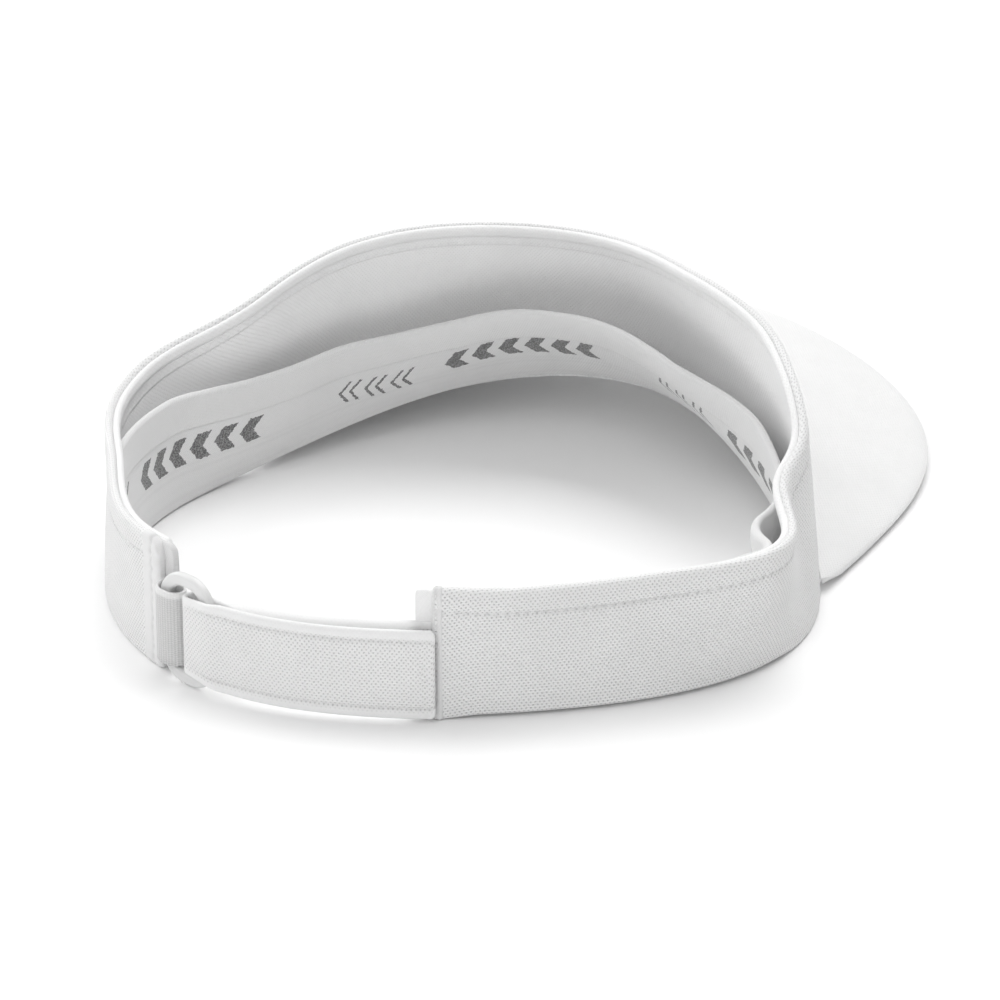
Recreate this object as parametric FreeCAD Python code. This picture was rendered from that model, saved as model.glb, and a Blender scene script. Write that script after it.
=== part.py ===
import FreeCAD, Part
import math
import os

# A sun visor standing on a table. Millimetres, +Z up. The bill points along -Y and +X is the wearer's left.
# The origin is the middle of the head opening, on the table.
# An angle round the band is in degrees: 0 is the middle of the back and 90 the wearer's right.
# Depth is measured inwards from the outer face of the band's shell.

Vector = FreeCAD.Vector

# Band: a slightly out-of-round ring. Each lobe is (count, cosine part, sine part) of its radius.
BAND_RADIUS = 94.3
BAND_LOBES = ((2, 0.1, -1.4), (3, -1.2, -2.9), (4, 2.0, 0.0))
RIGHT_END = 24.3
LEFT_END = 336.1
FRONT_LIFT = 20.9
LIFT_START = 94.0
RIM_HEIGHT = (
    (20, 35.0),
    (60, 35.0),
    (85, 38.0),
    (100, 46.5),
    (115, 59.5),
    (130, 66.5),
    (150, 70.5),
    (180, 70.0),
)
RIM_LEAN = ((30, 0.0), (60, 1.5), (90, -9.5), (110, 5.0), (130, 9.0), (155, 17.0), (180, 16.0))
FRONT_BULGE = 2.0
BULGE_START = 95.0
BULGE_RISE = 50.0
DENT_ANGLE = 94.0
DENT_WIDTH = 9.0
DENT_DEPTH = 14.8

# Layers of the band, as (depth of the outer side, thickness)
SHELL_LAYER = (0.0, 0.8)
BUCKRAM_LAYER = (0.95, 0.8)
LINING_LAYER = (2.3, 0.5)
TAPE_LAYER = (2.95, 0.4)
BINDING_LAYER = (-0.65, 0.55)
BUCKRAM_ANGLE = 102.0
BUCKRAM_LIFT = 1.0
BUCKRAM_DROP = 2.0
TRIM = 0.4
LINING_OVERHANG = 1.5
LINING_DROP = 1.0
LINING_LIFT = 0.3
SEAM_TAPE_HEIGHT = 7.0

# Sweatband: how far its top edge stands inwards of its sewn bottom edge
SWEATBAND_HEIGHT = 33.0
SWEATBAND_LIFT = 0.7
SWEATBAND_INWARDS = ((20, 1.0), (60, 4.0), (90, 3.0), (110, 8.0), (130, 14.0), (150, 19.0), (180, 19.5))
SWEATBAND_BACK_LAYER = (3.5, 0.4)
SWEATBAND_CORE_LAYER = (4.0, 0.6)
SWEATBAND_FACE_LAYER = (4.7, 0.5)
SWEATBAND_OVERHANG = 3.0
BUCKLE_ANGLE = 96.0
BUCKLE_WIDTH = 5.0
BUCKLE_DEPTH = 9.0

# How finely the surfaces follow their formulas
BAND_STEP = 3.0
SWEATBAND_COLUMNS = 120
SWEATBAND_ROWS = 4
BILL_COLUMNS = 61
BILL_ROWS = 6
STRAP_COLUMNS = 17

# Bill
BILL_ROOT_ANGLE = 110.0
BILL_TRIM_ANGLE = 0.3
BILL_ROOT_GAP = 0.5
BILL_LENGTH = 139.4
BILL_ADVANCE_POWER = 0.56
BILL_NOSE_POWER = 3.83
BILL_SIDE_POWER = 0.535
BILL_TIP_HEIGHT = 18.3
BILL_SIDE_HEIGHT = 3.2
BILL_EDGE_POWER = 1.28
BILL_CAMBER = 1.0
BILL_ROOT_FOLLOWS = 0.9
BOARD_BACK = 0.02
BOARD_FRONT = 0.955
BOARD_SIDE = 0.94
ROLL_BACK = 0.975
ROLL_FRONT = 0.998
COVER_THICKNESS = 0.55
BOARD_THICKNESS = 1.8
COVER_GAP = 0.15
BILL_THICKNESS = 2 * COVER_THICKNESS + 2 * COVER_GAP + BOARD_THICKNESS

# End bindings of the shell, along the band
LEFT_BINDING_WIDTH = 7.0
RIGHT_BINDING_WIDTH = 2.0
BINDING_LIP = 0.6
END_GAP = 0.1

# Ring buckle, flat, in its own frame: +X is towards the wearer's left and +Y is away from the head
RING_ANGLE = -16.4
RING_OUT = 0.9
RING_WIDTH = 19.8
RING_HEIGHT = 30.8
RING_BOTTOM = 0.5
RING_BAR = 3.8
RING_CROSS_BAR = 3.4
RING_THICKNESS = 2.3
RING_CORNER = 8.6
RING_HOLE_CORNER = 5.2
RING_EDGE_ROUND = 0.6

# Elastic tab, looped through the left bar of the ring
TAB_BOTTOM = 5.0
TAB_HEIGHT = 21.0
TAB_THICKNESS = 1.1
TAB_LOOP_HALF = 3.2
TAB_LOOP_END = 1.65
TAB_BAR_GAP = 0.4
TAB_SEWN_LENGTH = 6.0
TAB_SEWN_DEPTH = 1.0

# Strap: sewn base, fold through the ring and outer flap
STRAP_BOTTOM = 3.5
STRAP_HEIGHT = 24.0
STRAP_THICKNESS = 1.2
STRAP_SEWN_ANGLE = 29.0
STRAP_BASE_DEPTH = 0.95
STRAP_RISE = 1.6
STRAP_RISE_ANGLE = 30.0
FLAP_OUT = 2.6
FLAP_END_ANGLE = 24.2
FOLD_BOTTOM = 4.3
FOLD_HEIGHT = 22.4
FOLD_HALF = 2.9
FOLD_END = 0.9
FOLD_LEG_END = -10.6
STRAP_START_ANGLE = -9.6
PEEL_AXIS_GAP = 0.2
PATCH_HEIGHT = 18.0
PATCH_THICKNESS = 0.9
PATCH_GAP = 0.15
PATCH_START = 2.0
PATCH_END = 21.5


def smooth(share):
    """Goes from 0 to 1 with level ends."""
    share = min(max(share, 0.0), 1.0)
    return share * share * (3 - 2 * share)


def along(stations, place):
    """A smooth curve through stations of (place, value)."""
    places = [station[0] for station in stations]
    values = [station[1] for station in stations]
    place = min(max(place, places[0]), places[-1])
    last = len(places) - 1
    span = 0
    while span < last - 1 and place > places[span + 1]:
        span += 1
    slopes = []
    for index in (span, span + 1):
        if index in (0, last):
            slopes.append(0.0)
        else:
            rise = values[index + 1] - values[index - 1]
            slopes.append(rise / (places[index + 1] - places[index - 1]))
    width = places[span + 1] - places[span]
    share = (place - places[span]) / width
    blend = smooth(share)
    lean_in = width * slopes[0] * share * (1 - share) ** 2
    lean_out = width * slopes[1] * share ** 2 * (share - 1)
    return values[span] * (1 - blend) + values[span + 1] * blend + lean_in + lean_out


def hump(angle, centre, width):
    """A bell curve, 1 at its centre."""
    return math.exp(-(((angle - centre) / width) ** 2))


def from_back(angle):
    """The angle from the middle of the back, the same on both sides."""
    angle = angle % 360
    return min(angle, 360 - angle)


def band_radius(angle):
    """Radius of the shell's outer face at its bottom edge."""
    radius = BAND_RADIUS
    for count, cosine, sine in BAND_LOBES:
        turn = math.radians(count * angle)
        radius += cosine * math.cos(turn) + sine * math.sin(turn)
    return radius


def bottom_height(angle):
    return FRONT_LIFT * smooth((from_back(angle) - LIFT_START) / (180 - LIFT_START))


def rim_height(angle):
    return along(RIM_HEIGHT, from_back(angle))


def at(angle, radius, height):
    turn = math.radians(angle)
    return Vector(-radius * math.sin(turn), radius * math.cos(turn), height)


def degrees_of(length, angle=0.0):
    """The angle that a length along the band takes."""
    return math.degrees(length / band_radius(angle))


def wall_point(angle, height, depth):
    """A point in the band's wall, which leans and bulges with its height."""
    bottom = bottom_height(angle)
    share = (height - bottom) / (rim_height(angle) - bottom)
    lean = along(RIM_LEAN, from_back(angle)) + DENT_DEPTH * hump(angle % 360, DENT_ANGLE, DENT_WIDTH)
    bulge = FRONT_BULGE * smooth((from_back(angle) - BULGE_START) / BULGE_RISE) * 4 * share * (1 - share)
    return at(angle, band_radius(angle) - lean * share + bulge - depth, height)


def sweatband_point(angle, share, depth):
    """A point in the sweatband, at a share of its height, which leans inwards of the shell."""
    inwards = along(SWEATBAND_INWARDS, from_back(angle))
    lean = math.asin(inwards / SWEATBAND_HEIGHT)
    inwards += BUCKLE_DEPTH * hump(angle % 360, BUCKLE_ANGLE, BUCKLE_WIDTH)
    height = bottom_height(angle) + SWEATBAND_LIFT + SWEATBAND_HEIGHT * math.cos(lean) * share
    return at(angle, band_radius(angle) - inwards * share - depth, height)


def bill_point(side, forward, drop):
    """A point in the bill: side runs from -1 at the right corner to 1, forward from 0 at the band to 1."""
    sweep = 180 - BILL_ROOT_ANGLE - BILL_TRIM_ANGLE
    angle = 180 + sweep * math.sin(side * math.pi / 2)
    root = at(angle, band_radius(angle) + BILL_ROOT_GAP, 0)
    root_height = BILL_THICKNESS + BILL_ROOT_FOLLOWS * bottom_height(angle)
    corner_cosine = math.cos(math.radians(BILL_ROOT_ANGLE))
    reach = (corner_cosine - math.cos(math.radians(angle))) / (corner_cosine + 1)
    advance = reach ** BILL_ADVANCE_POWER
    corner = 180 + math.copysign(180 - BILL_ROOT_ANGLE, angle - 180)
    corner_point = at(corner, band_radius(corner) + BILL_ROOT_GAP, 0)
    spread = (1 - advance ** BILL_NOSE_POWER) ** BILL_SIDE_POWER
    across = corner_point.x * spread
    edge = Vector(across, corner_point.y - BILL_LENGTH * advance, 0)
    edge_height = BILL_TIP_HEIGHT - (BILL_TIP_HEIGHT - BILL_SIDE_HEIGHT) * spread ** BILL_EDGE_POWER
    point = root + (edge - root) * forward
    camber = BILL_CAMBER * 4 * forward * (1 - forward) * reach
    point.z = root_height + (edge_height - root_height) * forward + camber - drop
    return point


def knots_for(count, degree):
    """Evenly spaced knots and their multiplicities for a curve that starts and ends on its end poles."""
    inner = count - degree
    knots = [float(index) for index in range(inner + 1)]
    multiplicities = [degree + 1] + [1] * (inner - 1) + [degree + 1]
    return knots, multiplicities


def smooth_surface(grid):
    """A smooth surface with a grid of points as its poles."""
    degree_along = min(3, len(grid) - 1)
    degree_up = min(3, len(grid[0]) - 1)
    knots_along, mults_along = knots_for(len(grid), degree_along)
    knots_up, mults_up = knots_for(len(grid[0]), degree_up)
    surface = Part.BSplineSurface()
    surface.buildFromPolesMultsKnots(
        grid, mults_along, mults_up, knots_along, knots_up, False, False, degree_along, degree_up
    )
    return surface


def border(surface):
    """The four edges round a surface, in order."""
    u_low, u_high, v_low, v_high = surface.bounds()
    curves = [surface.uIso(u_low), surface.vIso(v_high), surface.uIso(u_high), surface.vIso(v_low)]
    return [curve.toShape() for curve in curves]


def skin(outer, inner):
    """A closed solid between two grids of points."""
    sides = [smooth_surface(grid) for grid in (outer, inner)]
    faces = [surface.toShape() for surface in sides]
    for outer_edge, inner_edge in zip(border(sides[0]), border(sides[1])):
        faces.append(Part.makeRuledSurface(outer_edge, inner_edge))
    shell = Part.Shell(faces)
    shell.sewShape()
    solid = Part.Solid(shell)
    if solid.Volume < 0:
        solid.reverse()
    return solid


def steps(low, high, count):
    return [low + (high - low) * index / (count - 1) for index in range(count)]


def band_strip(start, end, layer, low, high, rows=7):
    """A strip of the wall between two angles; low and high give its bottom and top height at an angle."""
    columns = max(5, int((end - start) / BAND_STEP))
    grids = []
    for depth in (layer[0], layer[0] + layer[1]):
        grid = []
        for angle in steps(start, end, columns):
            grid.append([wall_point(angle, height, depth) for height in steps(low(angle), high(angle), rows)])
        grids.append(grid)
    return skin(*grids)


def sweatband_strip(layer):
    start = RIGHT_END - SWEATBAND_OVERHANG
    end = LEFT_END + SWEATBAND_OVERHANG
    grids = []
    for depth in (layer[0], layer[0] + layer[1]):
        grid = []
        for angle in steps(start, end, SWEATBAND_COLUMNS):
            grid.append([sweatband_point(angle, share, depth) for share in steps(0, 1, SWEATBAND_ROWS)])
        grids.append(grid)
    return skin(*grids)


def bill_sheet(drop, thickness, back=0.0, front=1.0, side=1.0):
    """A sheet in the bill, between two shares of the way forward and out to a share of its width."""
    grids = []
    for level in (drop, drop + thickness):
        grid = []
        for across in steps(-side, side, BILL_COLUMNS):
            grid.append([bill_point(across, forward, level) for forward in steps(back, front, BILL_ROWS)])
        grids.append(grid)
    return skin(*grids)


def shell_fabric():
    """The outer cloth, trimmed level where it stands on the table."""
    strip = band_strip(RIGHT_END, LEFT_END, SHELL_LAYER, lambda a: bottom_height(a) - TRIM, rim_height)
    table = Part.makeBox(6 * BAND_RADIUS, 6 * BAND_RADIUS, 10 * TRIM)
    table.translate(Vector(-3 * BAND_RADIUS, -3 * BAND_RADIUS, -10 * TRIM))
    return strip.cut(table)


def lifted(amount):
    """A height function, that far above the band's bottom edge."""
    return lambda angle: bottom_height(angle) + amount


def dropped(amount):
    """A height function, that far below the band's rim."""
    return lambda angle: rim_height(angle) - amount


def front_buckram():
    start = BUCKRAM_ANGLE
    return band_strip(start, 360 - start, BUCKRAM_LAYER, lifted(BUCKRAM_LIFT), dropped(BUCKRAM_DROP))


def band_lining():
    start = RIGHT_END - LINING_OVERHANG
    end = LEFT_END + LINING_OVERHANG
    return band_strip(start, end, LINING_LAYER, lifted(LINING_LIFT), dropped(LINING_DROP))


def bill_seam_tape():
    start = BILL_ROOT_ANGLE
    return band_strip(start, 360 - start, TAPE_LAYER, lifted(LINING_LIFT), lifted(SEAM_TAPE_HEIGHT))


def end_binding(end, width, towards):
    """A tape on the outside of the shell's end, with a lip over the cut edge."""
    gap = degrees_of(END_GAP) * towards
    lip = degrees_of(BINDING_LIP) * towards
    far = end + degrees_of(width) * towards
    tape = (end - gap - lip, far)
    cover = (end - gap - lip, end - gap)
    lip_layer = (BINDING_LAYER[0], SHELL_LAYER[1] - BINDING_LAYER[0])
    pieces = []
    for span, layer in ((tape, BINDING_LAYER), (cover, lip_layer)):
        pieces.append(band_strip(min(span), max(span), layer, lifted(END_GAP), rim_height))
    return pieces[0].fuse(pieces[1]).removeSplitter()


def bill_board():
    drop = COVER_THICKNESS + COVER_GAP
    return bill_sheet(drop, BOARD_THICKNESS, BOARD_BACK, BOARD_FRONT, BOARD_SIDE)


def bill_top_cover():
    return bill_sheet(0, COVER_THICKNESS)


def bill_under_cover():
    return bill_sheet(BILL_THICKNESS - COVER_THICKNESS, COVER_THICKNESS)


def bill_edge_roll():
    """The covers' turned-in edges, beyond the board."""
    drop = COVER_THICKNESS + COVER_GAP
    return bill_sheet(drop, BOARD_THICKNESS, ROLL_BACK, ROLL_FRONT, BOARD_SIDE)


def ring_frame():
    """The placement of the ring's frame: +X towards the wearer's left, +Y out from the head, +Z up."""
    centre = at(RING_ANGLE, band_radius(RING_ANGLE) + RING_OUT, 0)
    return FreeCAD.Placement(centre, FreeCAD.Rotation(Vector(0, 0, 1), RING_ANGLE))


def in_ring_frame(shape):
    """Moves a shape drawn in the ring's frame to its place."""
    shape.Placement = ring_frame().multiply(shape.Placement)
    return shape


def seen_from_ring(angle, depth):
    """A place at a depth in the band, in plan, in the ring's frame."""
    point = ring_frame().inverse().multVec(at(angle, band_radius(angle) - depth, 0))
    return (point.x, point.y)


def rounded_box(width, height, depth, radius):
    """An upright plate, centred across and in depth, with its corners rounded."""
    plate = Part.makeBox(width, depth, height, Vector(-width / 2, -depth / 2, 0))
    corners = []
    for edge in plate.Edges:
        if abs(edge.tangentAt(edge.FirstParameter).y) > 0.99:
            corners.append(edge)
    return plate.makeFillet(radius, corners)


def ring_buckle():
    plate = rounded_box(RING_WIDTH, RING_HEIGHT, RING_THICKNESS, RING_CORNER)
    hole_height = RING_HEIGHT - 2 * RING_CROSS_BAR
    hole = rounded_box(RING_WIDTH - 2 * RING_BAR, hole_height, 2 * RING_THICKNESS, RING_HOLE_CORNER)
    hole.translate(Vector(0, 0, RING_CROSS_BAR))
    ring = plate.cut(hole)
    face_edges = []
    for edge in ring.Edges:
        if edge.BoundBox.YLength < 0.01:
            face_edges.append(edge)
    ring = ring.makeFillet(RING_EDGE_ROUND, face_edges)
    ring.translate(Vector(0, 0, RING_BOTTOM))
    return in_ring_frame(ring)


def upright(points, bottom, height):
    """An upright solid with a plan of straight sides."""
    corners = [Vector(x, y, bottom) for x, y in points]
    wire = Part.makePolygon(corners + corners[:1])
    return Part.Face(wire).extrude(Vector(0, 0, height))


def oval(low, high, half, bottom, height):
    """An upright solid with a plan of two half circles joined by straight sides."""
    left = low + half
    right = high - half
    middle = upright([(left, -half), (right, -half), (right, half), (left, half)], bottom, height)
    for x in (left, right):
        middle = middle.fuse(Part.makeCylinder(half, height, Vector(x, 0, bottom)))
    return middle.removeSplitter()


def elastic_tab():
    """Woven elastic folded round the ring's left bar, with its two ends sewn inside the band's left end."""
    half = TAB_LOOP_HALF
    hole_end = RING_WIDTH / 2 + TAB_BAR_GAP
    loop = oval(TAB_LOOP_END, hole_end + TAB_THICKNESS, half, TAB_BOTTOM, TAB_HEIGHT)
    hole_half = half - TAB_THICKNESS
    hole = oval(TAB_LOOP_END + TAB_THICKNESS, hole_end, hole_half, TAB_BOTTOM - 1, TAB_HEIGHT + 2)
    inner_depth = TAB_SEWN_DEPTH + TAB_THICKNESS
    mouth = LEFT_END + degrees_of(BINDING_LIP + 3 * END_GAP)
    sewn_end = LEFT_END - degrees_of(TAB_SEWN_LENGTH)
    outer = [(hole_end, 1.0), (hole_end + TAB_THICKNESS, 0.0)]
    outer += [seen_from_ring(angle, TAB_SEWN_DEPTH) for angle in (mouth, sewn_end)]
    inner = [seen_from_ring(angle, inner_depth) for angle in (sewn_end, mouth)]
    neck = upright(outer + inner + [(hole_end - half, -half)], TAB_BOTTOM, TAB_HEIGHT)
    return in_ring_frame(loop.fuse(neck).cut(hole).removeSplitter())


def strap_fold():
    """The strap's turn through the ring, round its right bar."""
    beyond = 4 * FOLD_HALF
    body = oval(FOLD_LEG_END - beyond, FOLD_END, FOLD_HALF, FOLD_BOTTOM, FOLD_HEIGHT)
    hole_half = FOLD_HALF - STRAP_THICKNESS
    hole_end = FOLD_END - STRAP_THICKNESS
    hole = oval(FOLD_LEG_END - 2 * beyond, hole_end, hole_half, FOLD_BOTTOM - 1, FOLD_HEIGHT + 2)
    corner = Vector(FOLD_LEG_END - 3 * beyond, -2 * FOLD_HALF, 0)
    cut_off = Part.makeBox(3 * beyond, 4 * FOLD_HALF, RING_HEIGHT, corner)
    return in_ring_frame(body.cut(hole).cut(cut_off).removeSplitter())


def strap_rise(angle):
    """How much further out the strap lies near the ring than at the band's end."""
    return STRAP_RISE * (1 - smooth((angle - STRAP_START_ANGLE) / STRAP_RISE_ANGLE))


def strap_strip(start, end, depth, thickness, bottom, height):
    """A strip that follows the band's plan, upright, and rises outwards towards the ring."""
    grids = []
    for layer in (depth, depth + thickness):
        grid = []
        for angle in steps(start, end, STRAP_COLUMNS):
            radius = band_radius(angle) + strap_rise(angle) - layer
            grid.append([at(angle, radius, bottom + rise) for rise in (0, height / 2, height)])
        grids.append(grid)
    return skin(*grids)


def strap_length(end, depth):
    """The part of the strap from the ring to an angle, at one depth."""
    return strap_strip(STRAP_START_ANGLE, end, depth, STRAP_THICKNESS, STRAP_BOTTOM, STRAP_HEIGHT)


def patch(depth):
    """A patch of hook or loop tape across the middle of the strap."""
    bottom = STRAP_BOTTOM + (STRAP_HEIGHT - PATCH_HEIGHT) / 2
    return strap_strip(PATCH_START, PATCH_END, depth, PATCH_THICKNESS, bottom, PATCH_HEIGHT)


def strap_peel_axis():
    """A point on the line that the flap peels about, just outside the flap where it leaves the fold."""
    angle = STRAP_START_ANGLE - degrees_of(PEEL_AXIS_GAP)
    return at(angle, band_radius(angle) + FLAP_OUT + strap_rise(angle) + PEEL_AXIS_GAP, 0)


def rest_point():
    """A point on the level bottom edge of the shell."""
    return at(60, band_radius(60) - SHELL_LAYER[1] / 2, 0)


def ring_swivel_axis():
    """A point on the line through the ring's left bar."""
    return ring_frame().multVec(Vector(RING_WIDTH / 2 - RING_BAR / 2, 0, 0))


NODES = {
    "shell_fabric": shell_fabric,
    "front_buckram": front_buckram,
    "band_lining": band_lining,
    "bill_seam_tape": bill_seam_tape,
    "sweatband_back": lambda: sweatband_strip(SWEATBAND_BACK_LAYER),
    "sweatband_core": lambda: sweatband_strip(SWEATBAND_CORE_LAYER),
    "sweatband_face": lambda: sweatband_strip(SWEATBAND_FACE_LAYER),
    "bill_board": bill_board,
    "bill_top_cover": bill_top_cover,
    "bill_under_cover": bill_under_cover,
    "bill_edge_roll": bill_edge_roll,
    "left_end_binding": lambda: end_binding(LEFT_END, LEFT_BINDING_WIDTH, -1),
    "right_end_binding": lambda: end_binding(RIGHT_END, RIGHT_BINDING_WIDTH, 1),
    "elastic_tab": elastic_tab,
    "ring_buckle": ring_buckle,
    "strap_base": lambda: strap_length(STRAP_SEWN_ANGLE, STRAP_BASE_DEPTH),
    "strap_fold": strap_fold,
    "strap_flap": lambda: strap_length(FLAP_END_ANGLE, -FLAP_OUT),
    "hook_patch": lambda: patch(-FLAP_OUT + STRAP_THICKNESS + PATCH_GAP),
    "loop_patch": lambda: patch(STRAP_BASE_DEPTH - PATCH_GAP - PATCH_THICKNESS),
}


def main():
    os.makedirs("parts", exist_ok=True)
    for name, make in NODES.items():
        shape = make()
        shape.exportStep("parts/" + name + ".step")
        box = shape.BoundBox
        print(name, len(shape.Solids), "solid, valid", shape.isValid(), "volume", round(shape.Volume, 1))
        print("   height %.2f to %.2f" % (box.ZMin, box.ZMax))
    print("ring swivel axis", ring_swivel_axis())
    print("strap peel axis", strap_peel_axis())
    print("resting point", rest_point())


main()
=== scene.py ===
import math
import bmesh
import bpy
import numpy as np
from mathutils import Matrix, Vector


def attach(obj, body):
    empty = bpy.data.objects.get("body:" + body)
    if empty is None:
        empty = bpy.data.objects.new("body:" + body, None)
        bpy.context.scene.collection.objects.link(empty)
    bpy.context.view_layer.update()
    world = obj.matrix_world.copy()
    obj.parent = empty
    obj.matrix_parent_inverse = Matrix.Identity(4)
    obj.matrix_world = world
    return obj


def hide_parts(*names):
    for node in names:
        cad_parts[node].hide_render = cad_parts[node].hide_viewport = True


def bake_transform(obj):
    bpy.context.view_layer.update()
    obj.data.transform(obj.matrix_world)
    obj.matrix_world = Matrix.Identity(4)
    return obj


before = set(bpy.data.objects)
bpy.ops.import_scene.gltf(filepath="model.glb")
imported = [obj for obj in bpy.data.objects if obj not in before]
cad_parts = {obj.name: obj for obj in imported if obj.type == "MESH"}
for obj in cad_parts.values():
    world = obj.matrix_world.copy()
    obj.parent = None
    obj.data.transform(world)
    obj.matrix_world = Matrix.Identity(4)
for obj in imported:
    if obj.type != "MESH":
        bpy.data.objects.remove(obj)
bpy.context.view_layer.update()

# The frame is in metres. Shapes are worked out in millimetres, from the CAD part's own driving dimensions, and
# scaled on the way into a mesh. An angle is in degrees: 0 is the middle of the back, 90 the wearer's right.
# Depth is measured inwards from the outer face of the band's shell.
MM = 0.001
BAND_RADIUS = 94.3
BAND_LOBES = ((2, 0.1, -1.4), (3, -1.2, -2.9), (4, 2.0, 0.0))
RIGHT_END = 24.3
LEFT_END = 336.1
FRONT_LIFT = 20.9
LIFT_START = 94.0
RIM_HEIGHT = (
    (20, 36.8), (40, 35.2), (60, 35.0), (85, 38.0), (100, 46.5),
    (115, 59.5), (130, 66.5), (150, 70.5), (180, 70.0),
)
RIM_LEAN = ((30, 0.0), (60, 1.5), (90, -9.5), (110, 5.0), (130, 9.0), (155, 17.0), (180, 16.0))
FRONT_BULGE = 2.0
DENT_ANGLE, DENT_WIDTH, DENT_DEPTH = 94.0, 9.0, 14.8
SWEATBAND_HEIGHT = 33.0
SWEATBAND_LIFT = 0.7
SWEATBAND_DEPTH = 4.35
SWEATBAND_OVERHANG = 3.0
LINING_OVERHANG = 0.6
BILL_ROOT_ANGLE = 110.0
BILL_TRIM_ANGLE = 0.3
BILL_ROOT_GAP = 0.5
BILL_TUCK = 0.3
BILL_LENGTH = 137.8
BILL_ADVANCE_POWER = 0.56
BILL_NOSE_POWER = 3.83
BILL_SIDE_POWER = 0.535
BILL_TIP_HEIGHT = 18.3
BILL_SIDE_HEIGHT = 3.2
BILL_EDGE_POWER = 1.28
BILL_CAMBER = 1.0
BILL_THICKNESS = 3.2
RING_ANGLE, RING_OUT = -16.4, 0.9
RING_WIDTH, RING_HEIGHT, RING_BOTTOM, RING_BAR, RING_CROSS_BAR = 19.8, 30.8, 0.5, 3.8, 3.4
RING_THICKNESS, RING_CORNER, RING_HOLE_CORNER = 2.5, 8.6, 5.2
STRAP_RISE, STRAP_RISE_ANGLE, STRAP_START_ANGLE = 1.6, 30.0, -9.6
STRAP_SEWN_ANGLE, FLAP_END_ANGLE = 29.0, 24.5


# ---- the band's surfaces, as in the CAD part ----

def smooth(share):
    share = min(max(share, 0.0), 1.0)
    return share * share * (3 - 2 * share)


def along(stations, place):
    places = [s[0] for s in stations]
    values = [s[1] for s in stations]
    place = min(max(place, places[0]), places[-1])
    last = len(places) - 1
    span = 0
    while span < last - 1 and place > places[span + 1]:
        span += 1
    slopes = []
    for index in (span, span + 1):
        if index in (0, last):
            slopes.append(0.0)
        else:
            slopes.append((values[index + 1] - values[index - 1]) / (places[index + 1] - places[index - 1]))
    width = places[span + 1] - places[span]
    share = (place - places[span]) / width
    blend = smooth(share)
    lean_in = width * slopes[0] * share * (1 - share) ** 2
    lean_out = width * slopes[1] * share ** 2 * (share - 1)
    return values[span] * (1 - blend) + values[span + 1] * blend + lean_in + lean_out


def hump(place, centre, width):
    return np.exp(-(((place - centre) / width) ** 2))


def wave(place, pitch):
    """1 at every pitch along a line and -1 half way between."""
    return np.cos(place * (2 * math.pi / pitch))


def from_back(angle):
    angle = angle % 360
    return min(angle, 360 - angle)


def band_radius(angle):
    radius = BAND_RADIUS
    for count, cosine, sine in BAND_LOBES:
        turn = math.radians(count * angle)
        radius += cosine * math.cos(turn) + sine * math.sin(turn)
    return radius


def bottom_height(angle):
    return FRONT_LIFT * smooth((from_back(angle) - LIFT_START) / (180 - LIFT_START))


def rim_height(angle):
    return along(RIM_HEIGHT, from_back(angle))


def at(angle, radius, height):
    """Points at an angle; radius and height may be arrays."""
    turn = math.radians(angle)
    radius, height = np.broadcast_arrays(np.asarray(radius, float), np.asarray(height, float))
    return np.stack([-radius * math.sin(turn), radius * math.cos(turn), height], axis=-1)


def degrees_of(length, angle=0.0):
    return math.degrees(length / band_radius(angle))


def run_at(angle):
    """The nominal place along the band, for stitches."""
    return math.radians(angle) * BAND_RADIUS


def wall_points(angle, heights, depths):
    """Points in the band's wall, at heights above the table and depths inwards of the shell's outer face."""
    bottom = bottom_height(angle)
    share = (np.asarray(heights, float) - bottom) / (rim_height(angle) - bottom)
    lean = along(RIM_LEAN, from_back(angle)) + DENT_DEPTH * hump(angle % 360, DENT_ANGLE, DENT_WIDTH)
    bulge = FRONT_BULGE * smooth((from_back(angle) - 95) / 50) * 4 * share * (1 - share)
    return at(angle, band_radius(angle) - lean * share + bulge - depths, heights)


def bill_points(side, forward, drop):
    """Points in the bill at one place across it; forward and drop may be arrays."""
    sweep = 180 - BILL_ROOT_ANGLE - BILL_TRIM_ANGLE
    angle = 180 + sweep * math.sin(side * math.pi / 2)
    root = at(angle, band_radius(angle) - BILL_TUCK, 0.0)
    root_height = BILL_THICKNESS + 0.9 * bottom_height(angle)
    corner_cosine = math.cos(math.radians(BILL_ROOT_ANGLE))
    reach = (corner_cosine - math.cos(math.radians(angle))) / (corner_cosine + 1)
    advance = reach ** BILL_ADVANCE_POWER
    corner = 180 + math.copysign(180 - BILL_ROOT_ANGLE, angle - 180)
    corner_point = at(corner, band_radius(corner) + BILL_ROOT_GAP, 0.0)
    spread = (1 - advance ** BILL_NOSE_POWER) ** BILL_SIDE_POWER
    edge = np.array([corner_point[0] * spread, corner_point[1] - BILL_LENGTH * advance, 0.0])
    edge_height = BILL_TIP_HEIGHT - (BILL_TIP_HEIGHT - BILL_SIDE_HEIGHT) * spread ** BILL_EDGE_POWER
    forward = np.asarray(forward, float)[..., None]
    points = root + (edge - root) * forward
    camber = BILL_CAMBER * 4 * forward * (1 - forward) * reach
    points[..., 2:] = root_height + (edge_height - root_height) * forward + camber
    points[..., 2] -= drop
    return points


# ---- mesh making ----

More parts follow.
